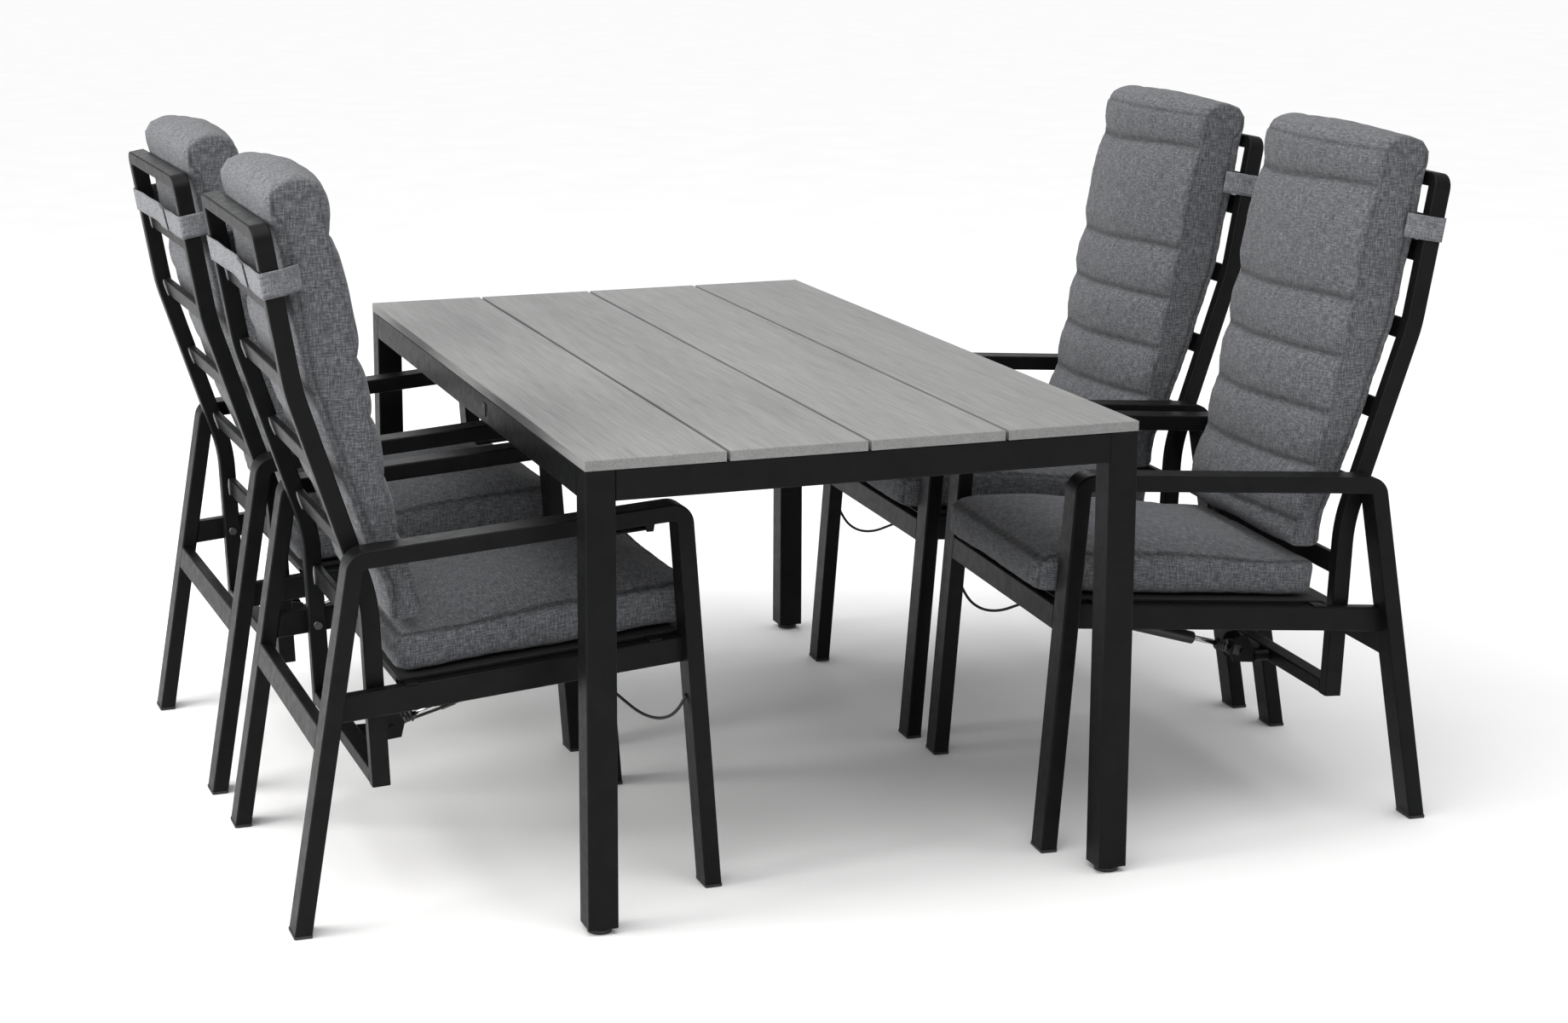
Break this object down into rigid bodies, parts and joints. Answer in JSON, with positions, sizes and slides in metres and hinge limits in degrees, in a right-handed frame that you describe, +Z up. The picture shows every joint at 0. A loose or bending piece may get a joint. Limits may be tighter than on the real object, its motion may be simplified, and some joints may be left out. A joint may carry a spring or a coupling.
{
  "type": "patio dining set",
  "caption": "Outdoor dining set: a slatted-top table on square legs with tall-backed armrest recliners, each with loose cushions and a gas-spring back.",
  "frame": {"origin": "on the floor under the middle of the whole set's bounding box", "axes": "+X across the table towards the right-hand chairs, +Y along the table, +Z up"},
  "size_m": [2.0531, 1.5, 1.16],
  "materials": {
    "frame_metal": "matte anthracite powder coat",
    "table_metal": "matte anthracite powder coat",
    "plank": "light grey wood-effect board with lengthwise grain",
    "cushion_fabric": "melange grey woven outdoor fabric",
    "strap_fabric": "the cushions' grey woven fabric",
    "sling_fabric": "black woven sling",
    "black_plastic": "black moulded plastic",
    "cable_jacket": "black cable jacket",
    "black_cylinder": "semi-gloss black enamel",
    "polished_rod": "polished rod",
    "fastener_steel": "black oxide steel",
    "badge_plate": "satin, blank"
  },
  "bodies": {
    "table": {"table_planks": "plank", "table_legs": "table_metal", "table_rails": "table_metal", "leg_plugs": "black_plastic", "levelling_feet": "black_plastic", "corner_brackets": "table_metal", "table_fasteners": "fastener_steel", "blank_badge": "badge_plate"},
    "left_near_chair": {"left_near_frame": "frame_metal", "left_near_foot_caps": "black_plastic", "left_near_seat_frame": "frame_metal", "left_near_seat_sling": "sling_fabric", "left_near_seat_cushion": "cushion_fabric", "left_near_pivot_bolts": "fastener_steel", "left_near_release_cable": "cable_jacket"},
    "left_near_back": {"left_near_back_frame": "frame_metal", "left_near_back_cushion": "cushion_fabric", "left_near_back_strap": "strap_fabric"},
    "left_near_gas_cylinder": {"left_near_gas_cylinder": "black_cylinder"},
    "left_near_gas_rod": {"left_near_gas_rod": "polished_rod"},
    "left_near_release_lever": {"left_near_release_lever": "frame_metal"},
    "left_far_chair": {"left_far_frame": "frame_metal", "left_far_foot_caps": "black_plastic", "left_far_seat_frame": "frame_metal", "left_far_seat_sling": "sling_fabric", "left_far_seat_cushion": "cushion_fabric", "left_far_pivot_bolts": "fastener_steel", "left_far_release_cable": "cable_jacket"},
    "left_far_back": {"left_far_back_frame": "frame_metal", "left_far_back_cushion": "cushion_fabric", "left_far_back_strap": "strap_fabric"},
    "left_far_gas_cylinder": {"left_far_gas_cylinder": "black_cylinder"},
    "left_far_gas_rod": {"left_far_gas_rod": "polished_rod"},
    "left_far_release_lever": {"left_far_release_lever": "frame_metal"},
    "right_near_chair": {"right_near_frame": "frame_metal", "right_near_foot_caps": "black_plastic", "right_near_seat_frame": "frame_metal", "right_near_seat_sling": "sling_fabric", "right_near_seat_cushion": "cushion_fabric", "right_near_pivot_bolts": "fastener_steel", "right_near_release_cable": "cable_jacket"},
    "right_near_back": {"right_near_back_frame": "frame_metal", "right_near_back_cushion": "cushion_fabric", "right_near_back_strap": "strap_fabric"},
    "right_near_gas_cylinder": {"right_near_gas_cylinder": "black_cylinder"},
    "right_near_gas_rod": {"right_near_gas_rod": "polished_rod"},
    "right_near_release_lever": {"right_near_release_lever": "frame_metal"},
    "right_far_chair": {"right_far_frame": "frame_metal", "right_far_foot_caps": "black_plastic", "right_far_seat_frame": "frame_metal", "right_far_seat_sling": "sling_fabric", "right_far_seat_cushion": "cushion_fabric", "right_far_pivot_bolts": "fastener_steel", "right_far_release_cable": "cable_jacket"},
    "right_far_back": {"right_far_back_frame": "frame_metal", "right_far_back_cushion": "cushion_fabric", "right_far_back_strap": "strap_fabric"},
    "right_far_gas_cylinder": {"right_far_gas_cylinder": "black_cylinder"},
    "right_far_gas_rod": {"right_far_gas_rod": "polished_rod"},
    "right_far_release_lever": {"right_far_release_lever": "frame_metal"}
  },
  "joints": [
    {"name": "left_near_pull_out", "type": "slide", "parent": "table", "child": "left_near_chair", "axis": [-0.9998, -0.0183, 0], "range_m": [0, 0.4]},
    {"name": "left_near_recline", "type": "hinge", "parent": "left_near_chair", "child": "left_near_back", "pos_m": [-0.81777, -0.34965, 0.35], "axis": [0.0183, -0.9998, 0], "range_deg": [0, 20], "deforming": ["left_near_release_cable"]},
    {"name": "left_near_gas_tilt", "type": "hinge", "parent": "left_near_chair", "child": "left_near_gas_cylinder", "pos_m": [-0.38384, -0.34169, 0.34], "axis": [-0.0183, 0.9998, 0], "range_deg": [0, 3.3]},
    {"name": "left_near_gas_stroke", "type": "slide", "parent": "left_near_gas_cylinder", "child": "left_near_gas_rod", "axis": [0.9597, 0.0176, 0.2803], "range_m": [0, 0.0435]},
    {"name": "left_near_lever_squeeze", "type": "hinge", "parent": "left_near_chair", "child": "left_near_release_lever", "pos_m": [-0.38622, -0.59378, 0.59274], "axis": [-0.0183, 0.9998, 0], "range_deg": [0, 3], "stiffness_Nm_per_rad": 1.5, "springref_deg": -2.86},
    {"name": "left_far_pull_out", "type": "slide", "parent": "table", "child": "left_far_chair", "axis": [-0.9989, -0.0466, 0], "range_m": [0, 0.4]},
    {"name": "left_far_recline", "type": "hinge", "parent": "left_far_chair", "child": "left_far_back", "pos_m": [-0.84658, 0.33373, 0.35], "axis": [0.0466, -0.9989, 0], "range_deg": [0, 20], "deforming": ["left_far_release_cable"]},
    {"name": "left_far_gas_tilt", "type": "hinge", "parent": "left_far_chair", "child": "left_far_gas_cylinder", "pos_m": [-0.41306, 0.35395, 0.34], "axis": [-0.0466, 0.9989, 0], "range_deg": [0, 3.3]},
    {"name": "left_far_gas_stroke", "type": "slide", "parent": "left_far_gas_cylinder", "child": "left_far_gas_rod", "axis": [0.9589, 0.0447, 0.2803], "range_m": [0, 0.0435]},
    {"name": "left_far_lever_squeeze", "type": "hinge", "parent": "left_far_chair", "child": "left_far_release_lever", "pos_m": [-0.40831, 0.10189, 0.59274], "axis": [-0.0466, 0.9989, 0], "range_deg": [0, 3], "stiffness_Nm_per_rad": 1.5, "springref_deg": -2.86},
    {"name": "right_near_pull_out", "type": "slide", "parent": "table", "child": "right_near_chair", "axis": [0.9981, -0.0623, 0], "range_m": [0, 0.4]},
    {"name": "right_near_recline", "type": "hinge", "parent": "right_near_chair", "child": "right_near_back", "pos_m": [0.83581, -0.39639, 0.35], "axis": [0.0623, 0.9981, 0], "range_deg": [0, 20], "deforming": ["right_near_release_cable"]},
    {"name": "right_near_gas_tilt", "type": "hinge", "parent": "right_near_chair", "child": "right_near_gas_cylinder", "pos_m": [0.40266, -0.36937, 0.34], "axis": [-0.0623, -0.9981, 0], "range_deg": [0, 3.3]},
    {"name": "right_near_gas_stroke", "type": "slide", "parent": "right_near_gas_cylinder", "child": "right_near_gas_rod", "axis": [-0.958, 0.0598, 0.2803], "range_m": [0, 0.0435]},
    {"name": "right_near_lever_squeeze", "type": "hinge", "parent": "right_near_chair", "child": "right_near_release_lever", "pos_m": [0.42533, -0.11829, 0.59274], "axis": [-0.0623, -0.9981, 0], "range_deg": [0, 3], "stiffness_Nm_per_rad": 1.5, "springref_deg": -2.86},
    {"name": "right_far_pull_out", "type": "slide", "parent": "table", "child": "right_far_chair", "axis": [0.9995, -0.0332, 0], "range_m": [0, 0.4]},
    {"name": "right_far_recline", "type": "hinge", "parent": "right_far_chair", "child": "right_far_back", "pos_m": [0.84909, 0.2214, 0.35], "axis": [0.0332, 0.9995, 0], "range_deg": [0, 20], "deforming": ["right_far_release_cable"]},
    {"name": "right_far_gas_tilt", "type": "hinge", "parent": "right_far_chair", "child": "right_far_gas_cylinder", "pos_m": [0.41533, 0.23579, 0.34], "axis": [-0.0332, -0.9995, 0], "range_deg": [0, 3.3]},
    {"name": "right_far_gas_stroke", "type": "slide", "parent": "right_far_gas_cylinder", "child": "right_far_gas_rod", "axis": [-0.9594, 0.0318, 0.2803], "range_m": [0, 0.0435]},
    {"name": "right_far_lever_squeeze", "type": "hinge", "parent": "right_far_chair", "child": "right_far_release_lever", "pos_m": [0.43068, 0.48742, 0.59274], "axis": [-0.0332, -0.9995, 0], "range_deg": [0, 3], "stiffness_Nm_per_rad": 1.5, "springref_deg": -2.86}
  ],
  "couplings": [
    {"joint": "left_near_gas_tilt", "follows": "left_near_recline", "ratio": 0.15713},
    {"joint": "left_near_gas_stroke", "follows": "left_near_recline", "m_per_rad": 0.12272},
    {"joint": "left_far_gas_tilt", "follows": "left_far_recline", "ratio": 0.15713},
    {"joint": "left_far_gas_stroke", "follows": "left_far_recline", "m_per_rad": 0.12272},
    {"joint": "right_near_gas_tilt", "follows": "right_near_recline", "ratio": 0.15713},
    {"joint": "right_near_gas_stroke", "follows": "right_near_recline", "m_per_rad": 0.12272},
    {"joint": "right_far_gas_tilt", "follows": "right_far_recline", "ratio": 0.15713},
    {"joint": "right_far_gas_stroke", "follows": "right_far_recline", "m_per_rad": 0.12272}
  ]
}
